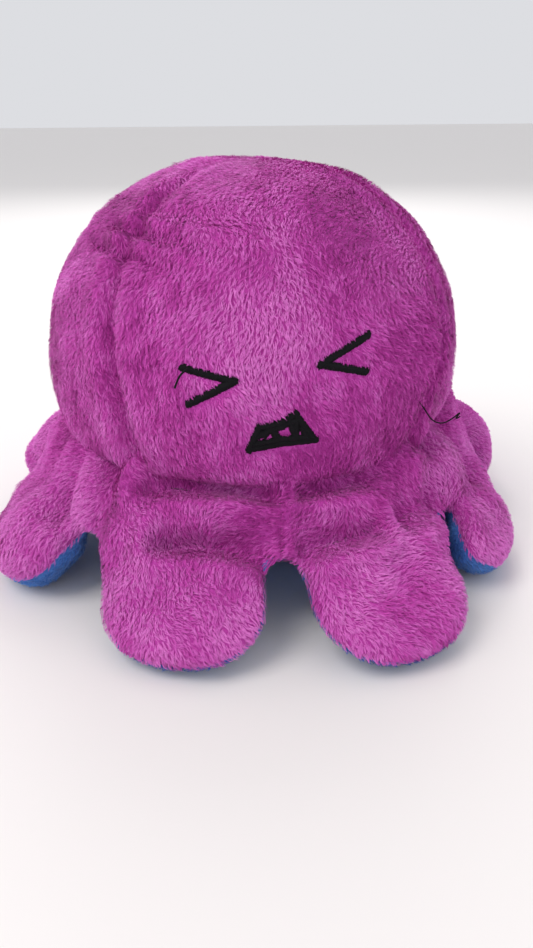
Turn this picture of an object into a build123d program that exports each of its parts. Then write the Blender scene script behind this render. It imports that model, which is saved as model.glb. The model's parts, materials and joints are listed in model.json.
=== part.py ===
from build123d import *
import os
from math import asin, atan2, cos, degrees, radians, sin

# Reversible plush octopus: a stuffed head on a skirt with eight padded tentacles, purple outside
# and lined in blue, with the lining tucked up inside the head as a pocket.
# Frame: +Z up, the face looks along -Y, +X is on the viewer's right. The origin is on the floor,
# under the middle of the head. Millimetres.

# Head
head_radius = 71.0  # at its widest
head_middle_z = 66.0  # height of the widest ring
crown_height = 62.6  # from the widest ring up to the crown
skin = 2.0  # plush cloth with its pile pressed flat

# Resting ring under the head, where the lining meets the floor
base_radius = 44.0

# Pocket: the blue head, tucked up inside the purple one
pocket_radius = 38.0
pocket_waist = 30.0
pocket_flare = 33.0
pocket_waist_z = 9.0
pocket_wide_z = 38.0
pocket_dome = 36.0

# Skirt: a sloping padded ring between the head's neck seam and the tentacle roots
neck_radius = 64.0
neck_z = 40.0
skirt_slope = 45.0
skirt_thickness = 9.0
skirt_corner_radius = 79.0  # where two tentacles part
seam_band_low = 30.0
seam_band_middle = 34.0
seam_band_high = 38.0

# Tentacles
tentacle_names = (
    "front_right",
    "right",
    "rear_right",
    "back_right",
    "back_left",
    "rear_left",
    "left",
    "front_left",
)
tip_sways = (-4.0, -6.0, -5.0, 0.0, 0.0, 4.0, 0.0, 4.0)  # sideways lean of each tip
hinge_radius = 76.0
tentacle_length = 27.5
root_half_width = 25.0
half_thickness = 6.0
tip_half_width = 20.0
tip_rounding = 17.0
rim_radius = 5.0
fold_up = 115.0
fold_down = 35.0
running_gap = 0.3
side_clearance = 1.6

# Embroidery
stitch_height = 1.2  # how far the stitches stand off the cloth
stroke_width = 2.4

# Loose thread ends
thread_radius = 0.3
eye_thread_bend = 1.2
seam_thread_bend = 2.0

across = cos(radians(skirt_slope))
down = sin(radians(skirt_slope))
os.makedirs("parts", exist_ok=True)


def save(solid, name):
    """Labels one finished piece and writes it as its own STEP file."""
    solid.label = name
    export_step(solid, f"parts/{name}.step")


def quarter_oval(base_z, half_width, height):
    """Curve from the side of a dome up to its top, in the active line."""
    diagonal = cos(radians(45))
    return Spline(
        (half_width, base_z),
        (half_width * diagonal, base_z + height * diagonal),
        (0, base_z + height),
        tangents=[(0, 1), (-1, 0)],
    )


def head_half(inset):
    """Half section of the head as a face: crown, widest ring, neck and the sagging base."""
    base_height = head_middle_z - inset
    neck_turn = degrees(asin((seam_band_low - head_middle_z) / base_height))
    with BuildSketch() as half:
        with BuildLine():
            upper = quarter_oval(head_middle_z, head_radius - inset, crown_height - inset)
            lower = EllipticalCenterArc(
                (0, head_middle_z),
                head_radius - inset,
                base_height,
                start_angle=neck_turn,
                arc_size=-neck_turn,
            )
            bulge = Spline(
                lower @ 0, (base_radius - inset, inset), tangents=[-(lower % 0), (-1, 0)]
            )
            Polyline(bulge @ 1, (0, inset), upper @ 1)
        make_face()
    return half.sketch


def pocket_half(outset):
    """Half section of the pocket as a face, open downwards, grown by outset."""
    with BuildSketch() as half:
        with BuildLine():
            side = Spline(
                (pocket_flare + outset, 0),
                (pocket_waist + outset, pocket_waist_z),
                (pocket_radius + outset, pocket_wide_z),
                tangents=[(-1, 1), (0, 1)],
            )
            dome = quarter_oval(pocket_wide_z, pocket_radius + outset, pocket_dome + outset)
            Polyline(dome @ 1, (0, 0), side @ 0)
        make_face()
    return half.sketch


def height_band(low, high):
    """Rectangle that covers the head's half section between two heights."""
    with BuildSketch() as band:
        with Locations((head_radius / 2, (low + high) / 2)):
            Rectangle(2 * head_radius, high - low)
    return band.sketch


def section_plane(azimuth):
    """Upright plane through the axis, with X pointing outwards at an azimuth from the face."""
    return Plane((0, 0, 0), x_dir=radial(azimuth), z_dir=radial(azimuth - 90))


def radial(azimuth):
    """Level unit vector that points outwards at an azimuth: 0 is the face, 90 is +X."""
    return Vector(sin(radians(azimuth)), -cos(radians(azimuth)), 0)


def on_skirt(along, lift):
    """Point of the skirt's section, along its slope from the neck and lifted off its top face."""
    return (
        neck_radius + along * across + lift * down,
        neck_z - along * down + lift * across,
    )


# ---------------------------------------------------------------- head, lining and stuffing

outer_half = head_half(0)
outer_half_inside = head_half(skin)
pocket_inside = pocket_half(0)
pocket_outside = pocket_half(skin)
quarters = {"face": 0, "right": 90, "back": 180, "left": 270}

for side_name, azimuth in quarters.items():
    first_edge = section_plane(azimuth - 45)

    with BuildPart() as head_panel:
        with BuildSketch(first_edge):
            add(outer_half)
            add(outer_half_inside, mode=Mode.SUBTRACT)
            add(height_band(seam_band_high, head_middle_z + crown_height), mode=Mode.INTERSECT)
        revolve(axis=Axis.Z, revolution_arc=90)
    save(head_panel.part, f"head_panel_{side_name}")

    with BuildPart() as lining_panel:
        with BuildSketch(first_edge):
            add(outer_half)
            add(outer_half_inside, mode=Mode.SUBTRACT)
            add(height_band(0, seam_band_low), mode=Mode.INTERSECT)
            add(pocket_outside)
            add(pocket_inside, mode=Mode.SUBTRACT)
        revolve(axis=Axis.Z, revolution_arc=90)
    save(lining_panel.part, f"lining_panel_{side_name}")

with BuildPart() as head_stuffing:
    with BuildSketch(Plane.XZ):
        add(outer_half_inside)
        add(pocket_outside, mode=Mode.SUBTRACT)
    revolve(axis=Axis.Z)
save(head_stuffing.part, "head_stuffing")

for band_name, low, high in (
    ("neck_seam_outer", seam_band_middle, seam_band_high),
    ("neck_seam_inner", seam_band_low, seam_band_middle),
):
    with BuildPart() as seam_band:
        with BuildSketch(Plane.XZ):
            add(outer_half)
            add(outer_half_inside, mode=Mode.SUBTRACT)
            add(height_band(low, high), mode=Mode.INTERSECT)
        revolve(axis=Axis.Z)
    save(seam_band.part, band_name)

# ---------------------------------------------------------------- embroidered faces

# Thin layers for the stitches, outside the head and inside the pocket
with BuildPart() as head_layer:
    with BuildSketch(Plane.XZ):
        add(head_half(-stitch_height))
        add(outer_half, mode=Mode.SUBTRACT)
        add(height_band(neck_z, head_middle_z + crown_height / 2), mode=Mode.INTERSECT)
    revolve(axis=Axis.Z)

with BuildPart() as pocket_layer:
    with BuildSketch(Plane.XZ):
        add(pocket_inside)
        add(pocket_half(-stitch_height), mode=Mode.SUBTRACT)
        add(height_band(pocket_waist_z, pocket_wide_z + pocket_dome / 2), mode=Mode.INTERSECT)
    revolve(axis=Axis.Z)


def strokes(*lines):
    """Bars with round ends that join each line's points, drawn in X and Z."""
    with BuildSketch() as bars:
        for points in lines:
            for start, end in zip(points, points[1:]):
                run = Vector(end) - Vector(start)
                with Locations((Vector(start) + Vector(end)) / 2):
                    SlotCenterToCenter(
                        run.length, stroke_width, rotation=degrees(atan2(run.Y, run.X))
                    )
    return bars.sketch


# Shut eyes, drawn as arrow heads that point at each other, and an open zigzag mouth
eye_left_points = ((-25.2, 78.2), (-11.8, 75.4), (-24.4, 68.8))
eye_right_points = ((25.6, 84.6), (12.0, 78.6), (25.0, 75.2))
mouth_outline = (
    (-8.2, 55.4),
    (-5.4, 62.2),
    (0.6, 63.0),
    (4.6, 65.4),
    (10.4, 57.0),
    (0.8, 56.8),
    (-8.2, 55.4),
)
mouth_teeth = ((-5.0, 59.6), (0.2, 58.8), (2.6, 61.4), (6.6, 58.0))

for feature_name, drawing in (
    ("eye_left", strokes(eye_left_points)),
    ("eye_right", strokes(eye_right_points)),
    ("mouth", strokes(mouth_outline, mouth_teeth)),
):
    with BuildPart() as feature:
        add(head_layer.part)
        with BuildSketch(Plane.XZ):
            add(drawing)
        extrude(amount=2 * head_radius, mode=Mode.INTERSECT)
    save(feature.part, feature_name)

# The second face is on the lining: two round eyes and a smile, inside the pocket
inner_eye_x = 11.0
inner_eye_z = 50.0
inner_eye_radius = 3.0
smile_points = ((-5.0, 41.0), (0.0, 38.0), (5.0, 41.0))

for eye_name, x in (("inner_eye_left", -inner_eye_x), ("inner_eye_right", inner_eye_x)):
    with BuildPart() as inner_eye:
        add(pocket_layer.part)
        with BuildSketch(Plane.XZ):
            with Locations((x, inner_eye_z)):
                Circle(inner_eye_radius)
        extrude(amount=2 * head_radius, mode=Mode.INTERSECT)
    save(inner_eye.part, eye_name)

with BuildPart() as inner_mouth:
    add(pocket_layer.part)
    with BuildSketch(Plane.XZ):
        add(strokes(smile_points))
    extrude(amount=2 * head_radius, mode=Mode.INTERSECT)
save(inner_mouth.part, "inner_mouth")

# ---------------------------------------------------------------- skirt

skirt_middle = -skirt_thickness / 2
hinge_along = (hinge_radius - neck_radius - skirt_middle * down) / across
hinge_z = on_skirt(hinge_along, skirt_middle)[1]
skirt_edge_along = (skirt_corner_radius - neck_radius) / across
up = Vector(0, 0, 1)


def tentacle_outward(index):
    """Level unit vector from the head's axis towards a tentacle."""
    return radial(360 / len(tentacle_names) * (index + 0.5))


def hinge_point(index):
    """Middle of the fold line between the skirt and a tentacle."""
    return tentacle_outward(index) * hinge_radius + up * hinge_z


def polar(distance, turn, centre=(0, 0)):
    """Point at a distance from a centre, turned from the outward direction."""
    return (
        centre[0] + distance * cos(radians(turn)),
        centre[1] + distance * sin(radians(turn)),
    )


# The room that each tentacle's root sweeps as it folds up and down
sweep_reach = 3 * tentacle_length
sweep_radius = half_thickness + running_gap
up_turn = fold_up - skirt_slope
down_turn = -fold_down - skirt_slope
upper_start = polar(sweep_radius, up_turn + 90)
upper_end = polar(sweep_reach, up_turn, upper_start)
lower_start = polar(sweep_radius, down_turn - 90)
lower_end = polar(sweep_reach, down_turn, lower_start)

with BuildPart() as fold_room:
    for index in range(len(tentacle_names)):
        outward = tentacle_outward(index)
        with BuildSketch(Plane(hinge_point(index), x_dir=outward, z_dir=outward.cross(up))):
            Circle(sweep_radius)
            with BuildLine():
                Polyline(
                    upper_start,
                    upper_end,
                    (sweep_reach, upper_end[1]),
                    (sweep_reach, lower_end[1]),
                    lower_end,
                    lower_start,
                    close=True,
                )
            make_face()
        extrude(amount=root_half_width + side_clearance, both=True)

for layer_name, top, bottom in (
    ("skirt_outer", 0, -skin),
    ("skirt_padding", -skin, skin - skirt_thickness),
    ("skirt_inner", skin - skirt_thickness, -skirt_thickness),
):
    with BuildPart() as skirt_layer:
        with BuildSketch(Plane.XZ):
            with BuildLine():
                Polyline(
                    on_skirt(-skirt_thickness, top),
                    on_skirt(skirt_edge_along, top),
                    on_skirt(skirt_edge_along, bottom),
                    on_skirt(-skirt_thickness, bottom),
                    close=True,
                )
            make_face()
            add(outer_half, mode=Mode.SUBTRACT)
        revolve(axis=Axis.Z)
        add(fold_room.part, mode=Mode.SUBTRACT)
    save(skirt_layer.part, layer_name)

# ---------------------------------------------------------------- tentacles


def tentacle_plane(index):
    """Plane of a tentacle's seam: origin on the hinge, X towards the tip, Z out of the top face."""
    outward = tentacle_outward(index)
    return Plane(
        hinge_point(index),
        x_dir=outward * across - up * down,
        z_dir=outward * down + up * across,
    )


def pillow(sway, inset):
    """A whole tentacle on its own seam plane, inset from its outside: round rims, round root."""
    side = root_half_width - inset
    tip_side = tip_half_width - inset
    length = tentacle_length - inset
    depth = half_thickness - inset
    with BuildPart() as whole:
        with BuildSketch(Plane.XY.offset(-depth)) as outline:
            with BuildLine():
                Polyline(
                    (0, -side),
                    (length, sway - tip_side),
                    (length, sway + tip_side),
                    (0, side),
                    close=True,
                )
            make_face()
            fillet(outline.vertices().group_by(Axis.X)[-1], radius=tip_rounding - inset)
        extrude(amount=2 * depth)
        flat_edges = whole.faces().filter_by(Plane.XY).edges()
        root_edges = flat_edges.group_by(Axis.X)[0]
        fillet(flat_edges - root_edges, radius=rim_radius - inset)
        Cylinder(depth, 2 * side, rotation=(90, 0, 0))
    return whole.part


for index, place in enumerate(tentacle_names):
    padding = pillow(tip_sways[index], skin)
    whole_tentacle = pillow(tip_sways[index], 0)

    with BuildPart() as top_cover:
        add(whole_tentacle)
        split(bisect_by=Plane.XY, keep=Keep.TOP)
        add(padding, mode=Mode.SUBTRACT)

    with BuildPart() as underside_cover:
        add(whole_tentacle)
        split(bisect_by=Plane.XY, keep=Keep.BOTTOM)
        add(padding, mode=Mode.SUBTRACT)

    for piece_name, piece in (
        ("padding", padding),
        ("top", top_cover.part),
        ("underside", underside_cover.part),
    ):
        with BuildPart() as placed:
            with Locations(tentacle_plane(index)):
                add(piece)
        save(placed.part, f"tentacle_{place}_{piece_name}")

# ---------------------------------------------------------------- loose thread ends

eye_thread_points = ((-25.6, -66.6, 79.2), (-28.6, -66.8, 78.0), (-28.2, -67.6, 73.6))
seam_thread_points = (
    (48.2, -55.4, 59.7),
    (52.0, -56.6, 54.6),
    (57.0, -56.6, 53.6),
    (62.6, -55.4, 57.8),
)

for thread_name, route, bend in (
    ("thread_end_eye", eye_thread_points, eye_thread_bend),
    ("thread_end_seam", seam_thread_points, seam_thread_bend),
):
    with BuildPart() as thread_end:
        with BuildLine() as path:
            FilletPolyline(*route, radius=bend)
        with BuildSketch(Plane(path.line @ 0, z_dir=path.line % 0)):
            Circle(thread_radius)
        sweep(path=path.line)
    save(thread_end.part, thread_name)
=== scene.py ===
import json

import bpy
import numpy as np
from mathutils import Matrix, Vector
from mathutils.bvhtree import BVHTree


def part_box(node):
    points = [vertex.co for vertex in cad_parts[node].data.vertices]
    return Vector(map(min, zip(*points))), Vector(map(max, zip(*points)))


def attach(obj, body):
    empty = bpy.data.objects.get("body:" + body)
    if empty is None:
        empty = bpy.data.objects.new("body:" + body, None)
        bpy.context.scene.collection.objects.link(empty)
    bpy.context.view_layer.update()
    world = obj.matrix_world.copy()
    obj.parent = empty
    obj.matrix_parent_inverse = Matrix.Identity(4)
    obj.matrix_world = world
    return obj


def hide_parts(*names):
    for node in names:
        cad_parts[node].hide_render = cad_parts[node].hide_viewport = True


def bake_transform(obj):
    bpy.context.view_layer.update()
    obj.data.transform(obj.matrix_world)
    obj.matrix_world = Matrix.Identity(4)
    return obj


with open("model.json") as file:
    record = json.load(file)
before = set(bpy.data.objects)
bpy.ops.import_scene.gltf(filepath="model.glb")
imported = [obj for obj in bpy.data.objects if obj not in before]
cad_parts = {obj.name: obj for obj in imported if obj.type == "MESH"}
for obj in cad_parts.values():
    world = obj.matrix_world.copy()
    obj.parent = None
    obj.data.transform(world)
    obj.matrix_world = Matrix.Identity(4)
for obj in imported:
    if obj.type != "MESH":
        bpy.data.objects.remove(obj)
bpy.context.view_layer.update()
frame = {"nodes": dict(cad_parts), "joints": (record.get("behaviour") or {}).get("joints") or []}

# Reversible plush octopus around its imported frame. Metres, +Z up, the face looks along -Y.
# Sewn covers are closed grids with a real cloth thickness. Their folds are displaced in code and
# their pile is a separate mesh of clumped strands that follows the nap.

MM = 0.001
rng = np.random.default_rng(11)

# ---------------------------------------------------------------- sizes from the frame

head_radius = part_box("head_panel_right")[1].x
crown_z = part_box("head_panel_face")[1].z
corner_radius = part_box("skirt_outer")[1].x  # where two tentacles part
joints = frame["joints"]
sector = 2 * np.pi / len(joints)
hinge_radius = float(np.hypot(*joints[0]["pos_m"][:2]))
hinge_z = joints[0]["pos_m"][2]
chord = corner_radius * np.cos(sector / 2)  # from the axis to a tentacle's root line
root_half = corner_radius * np.sin(sector / 2)

# Head, drawn slightly small because the pile adds to it
pile_stand = 0.9 * MM
widest_z = 0.513 * crown_z
head_wide = head_radius - pile_stand / 2
head_rise = crown_z - widest_z - pile_stand
head_drop = widest_z  # the head's lower half is as deep as it is high off the floor
head_squareness = 0.92  # 1 is an ellipse, less has fuller shoulders
tuck_in = 10.0 * MM  # how far the head pulls in under its crease with the skirt
cloth = 1.2 * MM

# Head seams, in degrees round from the face: at the crown, and at the neck
seam_tops = {"left": -47.5, "right": 63.0, "back_right": 132.0, "back_left": -132.0}
seam_lows = {"left": -37.0, "right": 38.5, "back_right": 138.0, "back_left": -138.0}
groove_depth = 3.4 * MM
groove_half = 2.8 * MM
swell_height = 1.3 * MM  # the cloth stands up on both sides of a seam
swell_offset = 6 * MM
swell_half = 4 * MM

# Gathers beside the seam on the upper left, where it is pulled tight
pucker_latitude = np.radians(42)
pucker_half = np.radians(10)
pucker_pitch = np.radians(7.5)
pucker_reach = 14 * MM
pucker_height = 2.4 * MM

# Hollows in the face side of the head, in X and Z: middle, size and depth in millimetres
head_hollows = (((36, 50), 9, 1.6), ((50, 62), 8, 1.0), ((-30, 96), 10, 1.1))

# Skirt and tentacles: a middle surface, lifted up for the top cover and down for the lining
neck_radius = 0.0605
neck_middle_z = 0.0440
neck_lift = 4.0 * MM
root_z = hinge_z + (hinge_radius - chord)
lobe_half = 24.5 * MM
lobe_lift = 7.0 * MM
lobe_belly = 4.5 * MM

# One row per tentacle, in the frame's order: sideways lean of the tip towards rising azimuth,
# reach from the axis to the tip, height of the tip's seam, roll that lifts the edge on the side
# of rising azimuth, fullness on top and below
lobes = {
    "front_right": dict(sway=-4.5 * MM, reach=0.1080, tip=4.5 * MM, roll=0.0, top=1.15, belly=1.2),
    "right": dict(sway=-17.0 * MM, reach=0.0935, tip=4.0 * MM, roll=-0.10, top=1.3, belly=2.6),
    "rear_right": dict(sway=-12.0 * MM, reach=0.0960, tip=5.0 * MM, roll=0.12, top=2.2, belly=1.6),
    "back_right": dict(sway=1.0 * MM, reach=0.0985, tip=4.5 * MM, roll=0.05, top=1.2, belly=1.2),
    "back_left": dict(sway=-1.0 * MM, reach=0.0990, tip=4.5 * MM, roll=-0.05, top=1.2, belly=1.2),
    "rear_left": dict(sway=-5.0 * MM, reach=0.0960, tip=6.0 * MM, roll=0.0, top=1.6, belly=1.6),
    "left": dict(sway=4.0 * MM, reach=0.0985, tip=4.5 * MM, roll=0.12, top=1.7, belly=2.8),
    "front_left": dict(sway=4.5 * MM, reach=0.1030, tip=4.5 * MM, roll=0.0, top=1.15, belly=1.2),
}
rest_gap = 0.5 * MM  # the lowest cloth stays this far off the floor, for its pile
seam_gap = 0.6 * MM  # and the top cover this much higher than the underside

# Places where the skirt is pushed up, seen from above: middle, width and height in millimetres
heaves = (((78, 4), 19, 9), ((-74, 34), 14, 4), ((-66, -30), 16, 3), ((44, -54), 14, 4))

# Creases on the skirt, seen from above: start, end, half width and depth in millimetres
creases = (
    ((-38, -58), (-2, -70), 3.4, 5.6),
    ((-34, -71.5), (-4, -80), 2.8, 7.5),
    ((7, -79), (28, -73.5), 2.8, 7.0),
    ((37, -69), (51, -60), 3.2, 6.5),
    ((-46, -38), (-52, -55), 4.6, 4.6),
    ((49, -46), (54, -59), 4.2, 5.0),
    ((8, -69), (38, -60), 3.6, 4.6),
    ((-60, -40), (-68, -48), 4.2, 3.4),
    ((62, -28), (72, -38), 4.6, 3.6),
)

# Spots of painted shade and painted light on the face side of the head, in X and Z: middle, size in
# millimetres, lightness
# The right cheek and the crease below the mouth get painted shade; the left and upper face, where the
# light falls, get painted light
painted_light_spots = (
    ((38, 62), 15, -1.7),
    ((50, 82), 10, -1.0),
    ((24, 112), 15, -0.9),
    ((-44, 112), 12, -0.7),
    ((-30, 100), 9, -0.6),
    ((2, 60), 12, -0.5),
    ((12, 44), 15, -0.9),
    ((-8, 80), 20, 0.7),
    ((-40, 60), 14, 0.5),
    ((10, 97), 14, 0.4),
)

# Pile
strand_length = 2.5 * MM
strand_width = 0.21 * MM
clump_size = 1.15 * MM
pile_density = 4.1e6  # strands per square metre
strand_lift = 0.36  # radians off the cloth
painted_shade_to = 0.066  # the skirt's pile is painted darker within this radius: painted shade under the head
painted_sheen_from = 0.088  # the tentacles' pile is painted paler past this one: painted sheen
floor_clear = 0.15 * MM  # strands under the toy are pressed flat at this height

# Embroidery
stroke_width = 2.4 * MM
thread_radius = 0.2 * MM
stitch_pitch = 0.3 * MM
stitch_slant = 0.35  # run along the stroke for each unit across it
stitch_arch = 0.9 * MM
stitch_sink = 0.2 * MM  # its ends go this far into the cloth

# ---------------------------------------------------------------- small helpers


def mix(a, b, share):
    """Straight mix of two values."""
    return a + (b - a) * share


def smooth(low, high, value):
    """Smooth step from 0 at low to 1 at high."""
    t = np.clip((value - low) / (high - low), 0, 1)
    return t * t * (3 - 2 * t)


def bell(value, middle, width):
    """Soft bump of height 1 around middle."""
    return np.exp(-(((value - middle) / width) ** 2))


def unit(vectors):
    """Vectors of length 1."""
    return vectors / np.maximum(np.linalg.norm(vectors, axis=-1, keepdims=True), 1e-12)


def lumps(points, wavelength, seed):
    """Soft random field from about -1 to 1 with features about one wavelength across."""
    waves = np.random.default_rng(seed)
    total = np.zeros(points.shape[:-1])
    count = 7
    for _ in range(count):
        direction = unit(waves.normal(size=3)) * 2 * np.pi / wavelength
        total += np.cos(points @ direction * waves.uniform(0.7, 1.4) + waves.uniform(0, 6.28))
    return total / np.sqrt(count)


def cell_random(cells, salt):
    """Steady numbers from 0 to 1, one for each integer cell."""
    mixed = cells[..., 0] * 73856093 ^ cells[..., 1] * 19349663 ^ cells[..., 2] * 83492791
    mixed = (mixed + salt * 15485863) & 0x7FFFFFFF
    mixed = ((mixed ^ (mixed >> 13)) * 1274126177) & 0x7FFFFFFF
    mixed = ((mixed ^ (mixed >> 11)) * 668265263) & 0x7FFFFFFF
    return (mixed ^ (mixed >> 15)) % 65536 / 65536


def polar_point(radius, azimuth, z):
    """Points at a radius and an azimuth: 0 is the face, +X is a quarter turn."""
    return np.stack([radius * np.sin(azimuth), -radius * np.cos(azimuth), z + 0 * radius], -1)


def new_object(name, points, faces, materials, smooth_faces=True, material_index=None):
    """Mesh object from arrays of points and of faces with the same number of corners."""
    corners = faces.shape[1]
    mesh = bpy.data.meshes.new(name)
    mesh.vertices.add(len(points))
    mesh.vertices.foreach_set("co", np.asarray(points, np.float32).ravel())
    mesh.loops.add(faces.size)
    mesh.loops.foreach_set("vertex_index", faces.astype(np.int32).ravel())
    mesh.polygons.add(len(faces))
    mesh.polygons.foreach_set("loop_start", np.arange(0, faces.size, corners, dtype=np.int32))
    mesh.polygons.foreach_set("use_smooth", np.full(len(faces), smooth_faces))
    for material in materials:
        mesh.materials.append(material)
    if material_index is not None:
        mesh.polygons.foreach_set("material_index", material_index.astype(np.int32))
    mesh.update(calc_edges=True)
    mesh.validate()
    made = bpy.data.objects.new(name, mesh)
    bpy.context.scene.collection.objects.link(made)
    return made


def grid_normals(grid):
    """Unit normals of a grid of points, right-handed from its rows to its columns."""
    along_rows = np.gradient(grid, axis=0)
    along_columns = np.gradient(grid, axis=1)
    return unit(np.cross(along_rows, along_columns))


def grid_faces(rows, columns):
    """Four-cornered faces of a grid."""
    index = np.arange(rows * columns).reshape(rows, columns)
    return np.stack(
        [index[:-1, :-1], index[1:, :-1], index[1:, 1:], index[:-1, 1:]], -1
    ).reshape(-1, 4)


def cover(name, grid, normals, material, thickness=cloth):
    """Closed piece of cloth: the grid is its outer face, and its inner face lies under it."""
    rows, columns = grid.shape[:2]
    outer = grid_faces(rows, columns)
    inside = outer[:, ::-1] + rows * columns
    index = np.arange(rows * columns).reshape(rows, columns)
    rim = np.concatenate(
        [index[0, :-1], index[:-1, -1], index[-1, :0:-1], index[:0:-1, 0]]
    )
    after = np.roll(rim, -1)
    edge = np.stack([rim, after, after + rows * columns, rim + rows * columns], -1)
    points = np.concatenate([grid.reshape(-1, 3), (grid - normals * thickness).reshape(-1, 3)])
    return new_object(name, points, np.concatenate([outer, inside, edge]), [material])


def scatter(grid, normals, density):
    """Random roots spread evenly over a grid, with their normals and their places in it."""
    a, b = grid[:-1, :-1], grid[1:, :-1]
    c, d = grid[1:, 1:], grid[:-1, 1:]
    areas = np.linalg.norm(np.cross(c - a, d - b), axis=-1) / 2
    count = int(areas.sum() * density)
    cells = rng.choice(areas.size, size=count, p=(areas / areas.sum()).ravel())
    rows, columns = np.unravel_index(cells, areas.shape)
    s, t = rng.random((2, count, 1))

    def between(values):
        low = mix(values[rows, columns], values[rows + 1, columns], s)
        high = mix(values[rows, columns + 1], values[rows + 1, columns + 1], s)
        return mix(low, high, t)

    place = np.stack([(rows + s[:, 0]) / areas.shape[0], (columns + t[:, 0]) / areas.shape[1]], -1)
    return between(grid), unit(between(normals)), place


def clumps(roots, size):
    """The clump that each root belongs to: its middle and three steady random numbers."""
    home = np.floor(roots / size).astype(np.int64)
    best = np.full(len(roots), np.inf)
    middle = np.zeros_like(roots)
    chosen = home.copy()
    for step in np.ndindex(3, 3, 3):
        cells = home + np.array(step) - 1
        jitter = np.stack([cell_random(cells, salt) for salt in (1, 2, 3)], -1)
        place = (cells + jitter) * size
        distance = np.linalg.norm(place - roots, axis=-1)
        nearer = distance < best
        best[nearer] = distance[nearer]
        middle[nearer] = place[nearer]
        chosen[nearer] = cells[nearer]
    return middle, [cell_random(chosen, salt) for salt in (4, 5, 6)]


def pile(name, roots, normals, nap, shades, patch, length):
    """Mesh of clumped strands that lean along the nap. patch darkens or lightens whole areas: random
    patches, with painted shade, light and sheen.
    """
    middle, (turn, rise, tone) = clumps(roots, clump_size)
    side = unit(np.cross(normals, nap))
    forward = np.cross(side, normals)
    angle = ((turn - 0.5) * 0.9 + rng.normal(0, 0.10, len(roots)))[:, None]
    lean = forward * np.cos(angle) + side * np.sin(angle)
    across = np.cross(lean, normals)
    to_middle = middle - roots
    to_middle -= normals * (to_middle * normals).sum(-1, keepdims=True)
    long = (length * (0.75 + 0.4 * rise) * rng.uniform(0.85, 1.1, len(roots)))[:, None]
    lift = (strand_lift * (0.7 + 0.7 * turn) + rng.normal(0, 0.06, len(roots)))[:, None]
    half = long / 2
    knee = roots + lean * half * np.cos(lift + 0.35) + normals * half * np.sin(lift + 0.35)
    tip = knee + lean * half * np.cos(lift - 0.45) + normals * half * np.sin(lift - 0.45)
    pull = to_middle * np.minimum(1, half / (clump_size * 0.5))
    knee = knee + pull * 0.35
    tip = tip + pull * 0.75
    wide = across * strand_width / 2
    points = np.stack([roots - wide, roots + wide, knee - wide * 0.8, knee + wide * 0.8, tip], 1)
    points[..., 2] = np.maximum(points[..., 2], floor_clear)
    first = np.arange(len(roots))[:, None] * 5
    faces = np.stack([first + [0, 1, 3], first + [0, 3, 2], first + [2, 3, 4]], 1).reshape(-1, 3)
    area = np.clip(0.5 + 0.5 * patch, 0, 1)
    shade = 0.30 * tone + 0.15 * rng.random(len(roots)) + 0.55 * area
    levels = np.linspace(0.28, 0.72, len(shades) - 1)
    index = np.repeat(np.searchsorted(levels, shade), 3)
    return new_object(name, points.reshape(-1, 3), faces, shades, False, index)


# ---------------------------------------------------------------- materials


def node_material(name):
    """Material with nodes, its shader, and shortcuts to add and link nodes."""
    material = bpy.data.materials.new(name)
    material.use_nodes = True
    tree = material.node_tree
    return material, tree.nodes["Principled BSDF"], tree.nodes.new, tree.links.new


def plain_pile(name, colour, roughness=0.7, sheen=0.3, tint=(1, 0.55, 0.9)):
    """Constant material for one shade of strands."""
    material, shader, _, _ = node_material(name)
    shader.inputs["Base Color"].default_value = (*colour, 1)
    shader.inputs["Roughness"].default_value = roughness
    shader.inputs["Sheen Weight"].default_value = sheen
    shader.inputs["Sheen Roughness"].default_value = 0.4
    shader.inputs["Sheen Tint"].default_value = (*tint, 1)
    shader.inputs["Specular IOR Level"].default_value = 0.15
    return material


def cloth_material(name, dark, light, patch_scale, fibre_scale, bump, sheen=0.2, roughness=0.85):
    """Woven or knitted backing: patches of two colours, fine fibres and their bump."""
    material, shader, add, link = node_material(name)
    place = add("ShaderNodeTexCoord")
    patches = add("ShaderNodeTexNoise")
    patches.inputs["Scale"].default_value = patch_scale
    patches.inputs["Detail"].default_value = 4
    fibres = add("ShaderNodeTexNoise")
    fibres.inputs["Scale"].default_value = fibre_scale
    fibres.inputs["Detail"].default_value = 6
    ramp = add("ShaderNodeValToRGB")
    ramp.color_ramp.elements[0].position = 0.3
    ramp.color_ramp.elements[0].color = (*dark, 1)
    ramp.color_ramp.elements[1].position = 0.72
    ramp.color_ramp.elements[1].color = (*light, 1)
    blend = add("ShaderNodeMix")
    blend.data_type = "FLOAT"
    blend.inputs[0].default_value = 0.5
    hills = add("ShaderNodeBump")
    hills.inputs["Strength"].default_value = bump
    hills.inputs["Distance"].default_value = 0.6 * MM
    link(place.outputs["Object"], patches.inputs["Vector"])
    link(place.outputs["Object"], fibres.inputs["Vector"])
    link(patches.outputs["Fac"], blend.inputs[2])
    link(fibres.outputs["Fac"], blend.inputs[3])
    link(blend.outputs[0], ramp.inputs["Fac"])
    link(ramp.outputs["Color"], shader.inputs["Base Color"])
    link(fibres.outputs["Fac"], hills.inputs["Height"])
    link(hills.outputs["Normal"], shader.inputs["Normal"])
    shader.inputs["Roughness"].default_value = roughness
    shader.inputs["Sheen Weight"].default_value = sheen
    shader.inputs["Specular IOR Level"].default_value = 0.2
    return material


# Shades of the pile's colour. Clumps take them at random, and the deeper and paler shades also carry
# the painted shade, light and sheen
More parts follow.
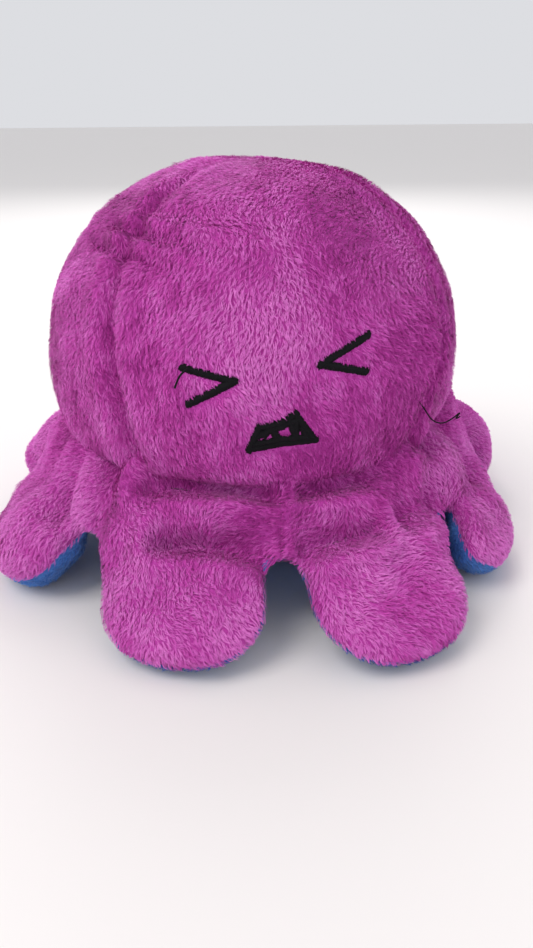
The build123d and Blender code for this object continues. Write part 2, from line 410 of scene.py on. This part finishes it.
purple_shades = [
    plain_pile("pile_purple_deep", (0.420, 0.032, 0.295)),
    plain_pile("pile_purple_dark", (0.615, 0.075, 0.460)),
    plain_pile("pile_purple", (0.665, 0.115, 0.530)),
    plain_pile("pile_purple_light", (0.735, 0.160, 0.605)),
    plain_pile("pile_purple_pale", (0.785, 0.210, 0.660)),
]
blue_tint = (0.7, 0.82, 1)
blue_shades = [
    plain_pile("pile_blue_deep", (0.050, 0.160, 0.500), tint=blue_tint),
    plain_pile("pile_blue_dark", (0.070, 0.220, 0.620), tint=blue_tint),
    plain_pile("pile_blue", (0.095, 0.280, 0.720), tint=blue_tint),
    plain_pile("pile_blue_light", (0.130, 0.340, 0.800), tint=blue_tint),
]
# Both backings are coloured darker than their pile: painted shade where they show between the strands
purple_cloth = cloth_material(
    "cloth_purple", (0.42, 0.025, 0.30), (0.58, 0.07, 0.45), 60, 1500, 0.6
)
blue_cloth = cloth_material("cloth_blue", (0.03, 0.11, 0.38), (0.08, 0.22, 0.62), 60, 1500, 0.6)
black_thread = cloth_material(
    "thread_black", (0.001, 0.001, 0.002), (0.006, 0.005, 0.008), 300, 3000, 0.4, 0.0, 0.65
)
purple_seam = cloth_material(
    "seam_purple", (0.15, 0.015, 0.11), (0.25, 0.03, 0.19), 90, 2500, 0.8
)
blue_seam = cloth_material("seam_blue", (0.01, 0.04, 0.15), (0.02, 0.08, 0.26), 90, 2500, 0.8)

# ---------------------------------------------------------------- head


def seam_azimuth(seam, height):
    """Azimuth of a head seam at a share of the way from the neck (0) to the crown (1)."""
    return np.radians(mix(seam_lows[seam], seam_tops[seam], smooth(0.05, 0.75, height)))


def head_surface(azimuth, latitude):
    """Points of the head's cloth before seams: flat-topped, and tucked in at the neck."""
    rise = np.where(latitude > 0, head_rise, head_drop)
    radius = head_wide * np.cos(latitude) ** head_squareness
    radius = radius - tuck_in * smooth(0.30, 0.55, -latitude)
    z = widest_z + rise * np.sin(latitude)
    return polar_point(radius, azimuth, z)


def head_panel(name, seam_from, seam_to, nodes):
    """Cover of one gore of the head, with its grooved seams, gathers, hollows and soft lumps."""
    rows, columns = 120, 110
    low, high = np.radians(-36.0), np.radians(89.96)  # tucked under the neck, almost at the crown
    latitude = np.linspace(low, high, rows)[:, None] * np.ones((1, columns))
    share = (latitude - low) / (high - low)
    across = np.linspace(0, 1, columns)[None, :] * np.ones((rows, 1))
    first = seam_azimuth(seam_from, share)
    last = seam_azimuth(seam_to, share)
    last = np.where(last < first, last + 2 * np.pi, last)
    azimuth = mix(first, last, across)
    grid = head_surface(azimuth, latitude)
    outward = grid_normals(grid)
    outward *= np.sign((outward * grid).sum(-1, keepdims=True))

    width = np.cos(latitude) * head_wide * (last - first)
    to_seam = np.minimum(across, 1 - across) * width
    fade = smooth(0.008, 0.055, width)
    swell = swell_height * bell(to_seam, swell_offset, swell_half)
    groove = swell - groove_depth * bell(to_seam, 0, groove_half)
    soft = 0.9 * MM * lumps(grid, 0.055, 3) + 0.35 * MM * lumps(grid, 0.018, 4)
    height = groove * fade + soft

    # Gathers beside the left seam. More than half a turn away counts as out of their reach.
    from_left = (azimuth - seam_azimuth("left", share)) * np.cos(latitude) * head_wide
    from_left = np.where(from_left > np.pi * head_wide, 1.0, from_left)
    pucker = bell(latitude, pucker_latitude, pucker_half) * np.exp(-np.abs(from_left) / pucker_reach)
    turn = (latitude - pucker_latitude) / pucker_pitch * 2 * np.pi + from_left * 120
    height = height + pucker_height * pucker * np.cos(turn) * smooth(0, 2 * MM, to_seam)

    for place, size, depth in head_hollows:
        spot = np.array(place) * MM
        away = np.hypot(grid[..., 0] - spot[0], grid[..., 2] - spot[1])
        height = height - depth * MM * bell(away, 0, size * MM) * (grid[..., 1] < 0)

    grid = grid + outward * height[..., None]
    normals = grid_normals(grid)
    normals *= np.sign((normals * outward).sum(-1, keepdims=True))
    if (grid_normals(grid) * normals).sum() < 0:
        grid, normals = grid[:, ::-1], normals[:, ::-1]
    piece = cover(f"head_cover_{name}", grid, normals, purple_cloth)
    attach(piece, "head")
    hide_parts(*nodes)
    return piece, grid, normals


def head_nap(roots):
    """Lie of the pile on the head: down the face, and combed sideways on the upper right."""
    sideways = smooth(0.085, 0.105, roots[:, 2]) * smooth(0.0, 0.03, roots[:, 0])
    swirl = 0.40 * lumps(roots, 0.06, 21) + 0.22 * lumps(roots, 0.02, 22)
    angle = swirl + 1.1 * sideways
    around = unit(np.cross(roots - [0, 0, widest_z], [0, 0, 1.0]))
    return np.array([0, 0, -1.0]) * np.cos(angle)[:, None] + around * np.sin(angle)[:, None]


def patches_and_painted_light(roots):
    """Lighter and darker areas of the head's pile: random patches, with painted shade and painted
    light at the listed spots.
    """
    patch = 0.45 * lumps(roots, 0.035, 31) + 0.35 * lumps(roots, 0.012, 32) - 0.15
    for place, size, amount in painted_light_spots:
        away = np.hypot(roots[:, 0] - place[0] * MM, roots[:, 2] - place[1] * MM)
        patch = patch + amount * bell(away, 0, size * MM) * (roots[:, 1] < 0)
    return patch


def on_face(box, share_x, share_z):
    """Point of an embroidered shape, as shares of its box less half a stroke all round."""
    low, high = box
    inset = stroke_width / 2
    x = mix(low.x + inset, high.x - inset, share_x)
    z = mix(low.z + inset, high.z - inset, share_z)
    return x, z


strokes = {
    "eye_left": [[(0.0, 1.0), (1.0, 0.70), (0.06, 0.0)]],
    "eye_right": [[(1.0, 1.0), (0.0, 0.36), (0.96, 0.0)]],
    "mouth": [
        [(0.0, 0.0), (0.15, 0.68), (0.47, 0.76), (0.69, 1.0), (1.0, 0.16), (0.48, 0.14), (0.0, 0.0)],
        [(0.08, 0.16), (0.50, 0.28), (0.92, 0.26)],
        [(0.12, 0.40), (0.30, 0.56), (0.50, 0.66)],
        [(0.34, 0.62), (0.42, 0.34)],
        [(0.24, 0.46), (0.30, 0.62)],
        [(0.60, 0.84), (0.70, 0.40), (0.72, 0.80)],
        [(0.82, 0.52), (0.88, 0.32)],
        [(0.52, 0.70), (0.66, 0.78)],
    ],
}
stroke_lines = {
    shape: [[on_face(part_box(shape), *share) for share in line] for line in lines]
    for shape, lines in strokes.items()
}


def from_strokes(roots):
    """Distance in the face's plane from each root to the middle of the nearest stroke."""
    flat = roots[:, [0, 2]]
    best = np.full(len(roots), 1.0)
    for lines in stroke_lines.values():
        for line in lines:
            for start, end in zip(line, line[1:]):
                a, b = np.array(start), np.array(end)
                share = np.clip((flat - a) @ (b - a) / ((b - a) @ (b - a)), 0, 1)
                away = np.linalg.norm(flat - (a + share[:, None] * (b - a)), axis=-1)
                best = np.minimum(best, away)
    best[roots[:, 1] > 0] = 1.0
    return best


head_seams = {
    "face": ("left", "right"),
    "right": ("right", "back_right"),
    "back": ("back_right", "back_left"),
    "left": ("back_left", "left"),
}


def head_pile(name, grid, normals):
    """Pile over one gore of the head, kept off the embroidery and cut shorter beside it."""
    roots, root_normals, _ = scatter(grid, normals, pile_density)
    clear = from_strokes(roots) - stroke_width / 2
    keep = clear > -0.2 * MM
    roots, root_normals, clear = roots[keep], root_normals[keep], clear[keep]
    length = np.minimum(strand_length, 0.8 * MM + np.maximum(clear, 0) * 1.1)
    # patch carries random patches, with painted shade and painted light
    nap, patch = head_nap(roots), patches_and_painted_light(roots)
    fur = pile(f"head_pile_{name}", roots, root_normals, nap, purple_shades, patch, length)
    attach(fur, "head")


for side_name, (seam_from, seam_to) in head_seams.items():
    stood_for = [f"head_panel_{side_name}"] + (["head_stuffing"] if side_name == "face" else [])
    piece, grid, normals = head_panel(side_name, seam_from, seam_to, stood_for)
    if side_name == "face":
        face_tree = BVHTree.FromObject(piece, bpy.context.evaluated_depsgraph_get())
    head_pile(side_name, grid, normals)

# ---------------------------------------------------------------- skirt and tentacles


def sector_axes(index):
    """Outward and sideways unit vectors of a tentacle's sector."""
    azimuth = sector * (index + 0.5)
    outward = np.array([np.sin(azimuth), -np.cos(azimuth), 0])
    sideways = np.array([np.cos(azimuth), np.sin(azimuth), 0])
    return azimuth, outward, sideways


def root_section(share):
    """Height of the padded section along a tentacle's root line, from -1 to 1, as 0 to 1."""
    return np.clip(1 - np.abs(share) ** 2.4, 0, 1) ** 0.6


def skirt_grid(index, side):
    """One sector of the skirt, from the neck to the root line, its side (1 top, -1 below) and rim."""
    rows, columns = 34, 65
    down = np.linspace(0, 1, rows)[:, None] * np.ones((1, columns))
    share = np.linspace(-1, 1, columns)[None, :] * np.ones((rows, 1))
    azimuth, _, _ = sector_axes(index)
    turn = np.arctan(share * np.tan(sector / 2))
    radius = mix(neck_radius, chord / np.cos(turn), down)
    z = mix(neck_middle_z, root_z, down ** 0.9)
    section = mix(1, root_section(share), smooth(0.45, 1, down))
    full = lobe_lift if side > 0 else lobe_belly
    lift = mix(neck_lift, full, smooth(0, 0.6, down)) * section
    outward = polar_point(np.ones_like(radius), azimuth + turn, 0.0)
    slope = (outward + [0, 0, 1.0]) / np.sqrt(2)
    grid = polar_point(radius, azimuth + turn, z) + slope * (side * lift)[..., None]
    return grid, side, section


def lobe_grid(index, name, side):
    """Top or underside of one tentacle, from its root line to its tip, its side and its rim."""
    facts = lobes[name]
    rows, columns = 60, 65
    along = np.sin(np.linspace(0, np.pi / 2, rows))[:, None] * np.ones((1, columns))
    share = np.linspace(-1, 1, columns)[None, :] * np.ones((rows, 1))
    azimuth, outward, sideways = sector_axes(index)
    # Points are evenly spaced at the root line and gathered towards the rim past it
    around = np.sin(share * np.pi / 2)
    around = mix(share, around, smooth(0, 0.15, along))
    # Half the width: from the root's own to the lobe's, rounded off at the tip
    neck_in = mix(lobe_half, root_half, np.exp(-along / 0.06))
    rounding = np.sqrt(np.clip(1 - along ** 4.5, 0, 1))
    half = neck_in * rounding
    q = facts["sway"] * smooth(0, 0.55, along) + half * around
    p = mix(chord, facts["reach"], along)
    z = mix(root_z, facts["tip"], along ** 0.92)
    z = z + facts["roll"] * half * around * smooth(0, 0.5, along)
    swell = facts["top"] if side > 0 else facts["belly"]
    full = (lobe_lift if side > 0 else lobe_belly) * mix(1, swell, smooth(0, 0.35, along))
    section = root_section(share)
    section = mix(section, np.cos(share * np.pi / 2) ** 0.9, smooth(0, 0.2, along))
    lift = full * section * rounding ** 0.8
    turn = np.arctan(share * np.tan(sector / 2)) * (1 - smooth(0, 0.35, along))
    radial = polar_point(np.ones_like(turn), azimuth + turn, 0.0)
    tilt = np.radians(45) * mix(1, 0.75, along)
    slope = radial * np.sin(tilt)[..., None] + np.array([0, 0, 1.0]) * np.cos(tilt)[..., None]
    flat = p[..., None] * outward + q[..., None] * sideways + z[..., None] * [0, 0, 1.0]
    return flat + slope * (side * lift)[..., None], side, root_section(share)


def skirt_folds(points, side, rim):
    """Height of the soft lumps and creases on the skirt and the tentacles. rim is 0 at a seam."""
    height = 0.8 * MM * lumps(points, 0.030, 41) + 0.35 * MM * lumps(points, 0.013, 42)
    if side < 0:
        return height
    flat = points[..., :2]
    ridge = np.zeros_like(height)
    for start, end, width, depth in creases:
        a, b = np.array(start) * MM, np.array(end) * MM
        share = np.clip((flat - a) @ (b - a) / ((b - a) @ (b - a)), 0, 1)
        away = np.linalg.norm(flat - (a + share[..., None] * (b - a)), axis=-1)
        height = height - rim * depth * MM * bell(away, 0, width * MM)
        ridge = np.maximum(ridge, 0.4 * depth * MM * bell(away, 2.2 * width * MM, width * MM))
    return height + rim * ridge


def soften(grid, side, rim):
    """The grid with its folds, lumps and heaves, kept off the floor, and its normals."""
    upward = unit(unit(grid * [1, 1, 0]) + [0, 0, 1.0])
    moved = grid + upward * skirt_folds(grid, side, rim)[..., None]
    for middle, width, height in heaves:
        away = np.hypot(grid[..., 0] - middle[0] * MM, grid[..., 1] - middle[1] * MM)
        moved[..., 2] += (side > 0) * rim * height * MM * bell(away, 0, width * MM)
    floor_gap = rest_gap + seam_gap * (side > 0)
    moved[..., 2] = floor_gap + np.logaddexp(0, (moved[..., 2] - floor_gap) / MM) * MM
    return faced(moved, side)


def faced(grid, side):
    """The grid turned so that its normals point up on top (1) or down below (-1)."""
    normals = grid_normals(grid)
    if normals[..., 2].sum() * side < 0:
        grid = grid[:, ::-1]
        normals = grid_normals(grid)
    return grid, normals


def skirt_nap(roots):
    """Lie of the pile on the skirt and tentacles: outwards and down, with swirls."""
    outward = unit(roots * [1, 1, 0])
    around = np.cross(outward, [0, 0, 1.0])
    angle = 0.75 * lumps(roots, 0.045, 50) + 0.4 * lumps(roots, 0.018, 51)
    base = outward - [0, 0, 0.8]
    return base * np.cos(angle)[:, None] + around * np.sin(angle)[:, None]


def add_pile(name, grids, shades, edge_share):
    """Pile over several grids as one piece. It is cut to edge_share of its length at a sewn edge."""
    parts = [scatter(grid, normals, pile_density) for grid, normals in grids]
    roots = np.concatenate([part[0] for part in parts])
    root_normals = np.concatenate([part[1] for part in parts])
    to_edge = 1 - np.abs(2 * np.concatenate([part[2][:, 1] for part in parts]) - 1)
    keep = (roots[:, 2] > 0.6 * MM) & (to_edge > 0.06 * (1 - edge_share))
    roots, root_normals, to_edge = roots[keep], root_normals[keep], to_edge[keep]
    patch = 0.6 * lumps(roots, 0.03, 55) + 0.3 * lumps(roots, 0.012, 56)
    # Painted shade near the neck, under the head, and painted sheen out on the tentacles
    shade_to_sheen = smooth(painted_shade_to, painted_sheen_from, np.hypot(roots[:, 0], roots[:, 1]))
    patch = patch + mix(-0.5, 0.5, shade_to_sheen)
    lengths = strand_length * mix(edge_share, 1, smooth(0.03, 0.20, to_edge))
    return pile(name, roots, root_normals, skirt_nap(roots), shades, patch, lengths)


# Side (1 top, -1 below), name, cloth, pile, slot, and the pile's length left at a sewn edge
cloth_sides = (
    (1, "top", purple_cloth, purple_shades, "purple_plush", 1.0),
    (-1, "underside", blue_cloth, blue_shades, "blue_plush", 0.3),
)
skirt_nodes = {"top": ("skirt_outer", "skirt_padding"), "underside": ("skirt_inner",)}


def add_tentacle(index, body):
    """Covers and pile of both sides of a tentacle, which stand in for its body's nodes."""
    for side, part, cloth_look, shades, slot, edge_share in cloth_sides:
        grid, normals = soften(*lobe_grid(index, body.removeprefix("tentacle_"), side))
        piece = cover(f"{body}_{part}_cover", grid, normals, cloth_look)
        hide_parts(f"{body}_{part}", *([f"{body}_padding"] if side > 0 else []))
        fur = add_pile(f"{body}_{part}_pile", [(grid, normals)], shades, edge_share)
        for made in (piece, fur):
            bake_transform(made)


def add_skirt(side, part, cloth_look, shades, slot, edge_share):
    """Top or underside of the skirt: a cover for each sector, and one pile over them all."""
    grids = [soften(*skirt_grid(index, side)) for index in range(len(joints))]
    pieces = []
    for index, (grid, normals) in enumerate(grids):
        pieces.append(cover(f"skirt_{part}_{index}", grid, normals, cloth_look))
    for piece in pieces:
        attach(piece, "head")
    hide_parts(*skirt_nodes[part])
    fur = add_pile(f"skirt_{part}_pile", grids, shades, edge_share)
    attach(fur, "head")


for index, joint in enumerate(joints):
    add_tentacle(index, joint["child"])
for cloth_side in cloth_sides:
    add_skirt(*cloth_side)

# ---------------------------------------------------------------- lining


def smooth_profile(corners, count):
    """Points on a smooth curve through the corners."""
    corners = np.array(corners)
    padded = np.concatenate([[2 * corners[0] - corners[1]], corners, [2 * corners[-1] - corners[-2]]])
    spots = np.linspace(0, len(corners) - 1 - 1e-9, count)
    step = spots.astype(int)
    t = (spots - step)[:, None]
    a, b, c, d = (padded[step + k] for k in range(4))
    return 0.5 * (
        2 * b + (c - a) * t + (2 * a - 5 * b + 4 * c - d) * t**2 + (3 * b - a - 3 * c + d) * t**3
    )


# Section of the lining, as radius and height: under the neck, round the resting ring, up inside
lining_section = smooth_profile(
    [
        (0.0615, 0.031),
        (0.0590, 0.020),
        (0.0525, 0.008),
        (0.0440, 0.0012),
        (0.0375, 0.0010),
        (0.0325, 0.0035),
        (0.0305, 0.0095),
        (0.0345, 0.0220),
        (0.0378, 0.0380),
        (0.0352, 0.0560),
        (0.0240, 0.0690),
        (0.0006, 0.0738),
    ],
    120,
)

for quarter, side_name in enumerate(("face", "right", "back", "left")):
    azimuth = np.linspace(-np.pi / 4, np.pi / 4, 60)[None, :] + quarter * np.pi / 2
    radius = lining_section[:, :1]
    height = lining_section[:, 1:]
    inside = smooth(0.004, 0.012, height) * smooth(0.060, 0.045, radius)
    folds = 0.5 * MM * inside * np.cos(azimuth * 12 + 30 * height) * smooth(0.0, 0.02, radius)
    grid = polar_point(radius + folds, azimuth, height + 0 * azimuth)
    normals = grid_normals(grid)
    # The cloth of the resting ring faces down
    ring_row = len(lining_section) // 4
    if normals[ring_row, 30, 2] > 0:
        grid = grid[:, ::-1]
        normals = grid_normals(grid)
    piece = cover(f"lining_{side_name}", grid, normals, blue_cloth)
    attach(piece, "head")
    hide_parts(f"lining_panel_{side_name}")

# ---------------------------------------------------------------- embroidery and threads


def tube(route, radius, sides=5):
    """Points and faces of a closed thin tube along a route."""
    route = np.asarray(route)
    ahead = unit(np.gradient(route, axis=0))
    side = unit(np.cross(ahead, [0.31, -0.90, 0.29]))
    up = np.cross(side, ahead)
    angle = np.linspace(0, 2 * np.pi, sides, endpoint=False)
    ring = side[:, None] * np.cos(angle)[None, :, None] + up[:, None] * np.sin(angle)[None, :, None]
    points = (route[:, None] + ring * radius).reshape(-1, 3)
    index = np.arange(len(route) * sides).reshape(len(route), sides)
    after = np.roll(index, -1, axis=1)
    faces = np.stack([index[:-1], after[:-1], after[1:], index[1:]], -1).reshape(-1, 4)
    first, last = index[0], index[-1]
    fans = [[end[0], end[k], end[k + 1]] for end in (first, last) for k in range(1, sides - 1)]
    return points, faces, np.array(fans)


def stitch(x, z, across, half):
    """Route of one satin stitch over the face, arched off the cloth and sunk at its ends."""
    route = []
    for share in (-1.0, -0.7, 0.0, 0.7, 1.0):
        spot = np.array([x, z]) + across * half * share
        hit, normal, _, _ = face_tree.ray_cast(Vector((spot[0], -0.2, spot[1])), Vector((0, 1, 0)))
        arch = stitch_arch * (1 - share**2) - stitch_sink
        route.append(np.array(hit) + np.array(normal) * arch)
    return route


def stitches_along(start, end):
    """Points and faces of the satin stitches that fill one straight stroke."""
    a, b = np.array(start), np.array(end)
    run = np.linalg.norm(b - a)
    ahead = (b - a) / run
    across = np.array([-ahead[1], ahead[0]]) + ahead * stitch_slant
    across /= np.linalg.norm(across)
    overrun = 0.35 * stroke_width
    for spot in np.arange(-overrun, run + overrun, stitch_pitch):
        place = a + ahead * spot
        half = stroke_width / 2 * rng.uniform(0.86, 1.12)
        points, faces, caps = tube(stitch(*place, across, half), thread_radius)
        yield points, np.concatenate([faces[:, [0, 1, 2]], faces[:, [0, 2, 3]], caps])


for shape, lines in stroke_lines.items():
    all_points, all_faces, total = [], [], 0
    for line in lines:
        for start, end in zip(line, line[1:]):
            for points, faces in stitches_along(start, end):
                all_points.append(points)
                all_faces.append(faces + total)
                total += len(points)
    piece = new_object(
        f"{shape}_stitches", np.concatenate(all_points), np.concatenate(all_faces), [black_thread]
    )
    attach(piece, "head")
    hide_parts(shape)


def thread_end(name, corners, radius):
    """A loose sewing thread end as a bevelled curve."""
    curve = bpy.data.curves.new(name, "CURVE")
    curve.dimensions = "3D"
    curve.bevel_depth = radius
    curve.bevel_resolution = 3
    curve.use_fill_caps = True
    spline = curve.splines.new("NURBS")
    spline.points.add(len(corners) - 1)
    for point, corner in zip(spline.points, corners):
        point.co = (*(value * MM for value in corner), 1)
    spline.order_u = 3
    spline.use_endpoint_u = True
    curve.materials.append(black_thread)
    made = bpy.data.objects.new(name, curve)
    bpy.context.scene.collection.objects.link(made)
    return made


eye_thread = thread_end(
    "thread_end_eye_strand",
    [(-24.0, -66.4, 78.7), (-25.4, -68.4, 78.4), (-27.0, -67.9, 76.2), (-27.8, -67.8, 73.8)],
    0.3 * MM,
)
seam_thread = thread_end(
    "thread_end_seam_strand",
    [
        (44.4, -53.6, 62.4),
        (46.6, -56.0, 59.0),
        (49.0, -56.0, 55.6),
        (52.2, -56.0, 54.6),
        (54.8, -56.0, 55.8),
        (58.0, -56.0, 58.6),
        (55.6, -56.0, 55.4),
        (57.6, -56.0, 56.8),
    ],
    0.22 * MM,
)
for made, node in ((eye_thread, "thread_end_eye"), (seam_thread, "thread_end_seam")):
    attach(made, "head")
    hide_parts(node)

# ---------------------------------------------------------------- CAD nodes that stay

node_looks = {
    "neck_seam_outer": purple_seam,
    "neck_seam_inner": blue_seam,
    "inner_eye_left": black_thread,
    "inner_eye_right": black_thread,
    "inner_mouth": black_thread,
}
for node, look in node_looks.items():
    mesh = frame["nodes"][node].data
    mesh.materials.clear()
    mesh.materials.append(look)

# ---------------------------------------------------------------- floor, light and camera

floor_material, floor_shader, _, _ = node_material("floor_pale")
floor_shader.inputs["Base Color"].default_value = (0.86, 0.83, 0.81, 1)
floor_shader.inputs["Roughness"].default_value = 0.7
size = 40.0
floor = new_object(
    "floor",
    np.array([(-size, -size, 0), (size, -size, 0), (size, size, 0), (-size, size, 0)]),
    np.array([[0, 1, 2, 3]]),
    [floor_material],
)

world = bpy.data.worlds.new("soft_room")
bpy.context.scene.world = world
world.use_nodes = True
world.node_tree.nodes["Background"].inputs["Color"].default_value = (0.95, 0.96, 1.0, 1)
world.node_tree.nodes["Background"].inputs["Strength"].default_value = 0.76


def soft_light(name, place, width, power, colour):
    """Square area light that points at the middle of the head."""
    data = bpy.data.lights.new(name, "AREA")
    data.size = width
    data.energy = power
    data.color = colour
    lamp = bpy.data.objects.new(name, data)
    lamp.location = place
    aim = Vector((0, 0, widest_z)) - Vector(place)
    lamp.rotation_euler = aim.to_track_quat("-Z", "Y").to_euler()
    bpy.context.scene.collection.objects.link(lamp)


soft_light("key", (-0.7, -0.35, 1.1), 0.7, 7.0, (1.0, 0.97, 0.94))
soft_light("fill", (0.9, -0.8, 0.7), 0.9, 1.2, (0.95, 0.97, 1.0))
soft_light("back", (0.1, 1.0, 0.9), 0.8, 6.0, (1.0, 1.0, 1.0))

# The camera looks a little down from the front, slightly from the object's left
camera_data = bpy.data.cameras.new("camera")
camera_data.sensor_fit = "VERTICAL"
camera_data.sensor_height = 36
camera_data.lens = 27.34
camera = bpy.data.objects.new("camera", camera_data)
bpy.context.scene.collection.objects.link(camera)
azimuth, pitch, roll = np.radians([6.1, 26.0, -0.5])
forward = Vector((np.sin(azimuth) * np.cos(pitch), np.cos(azimuth) * np.cos(pitch), -np.sin(pitch)))
level = Vector((np.cos(azimuth), -np.sin(azimuth), 0))
upright = level.cross(forward)
right = level * np.cos(roll) + upright * np.sin(roll)
above = right.cross(forward)
turned = Matrix((right, above, -forward)).transposed()
camera.matrix_world = Matrix.Translation((-0.02305, -0.25334, 0.13766)) @ turned.to_4x4()
bpy.context.scene.camera = camera
bpy.context.scene.view_settings.view_transform = "Standard"
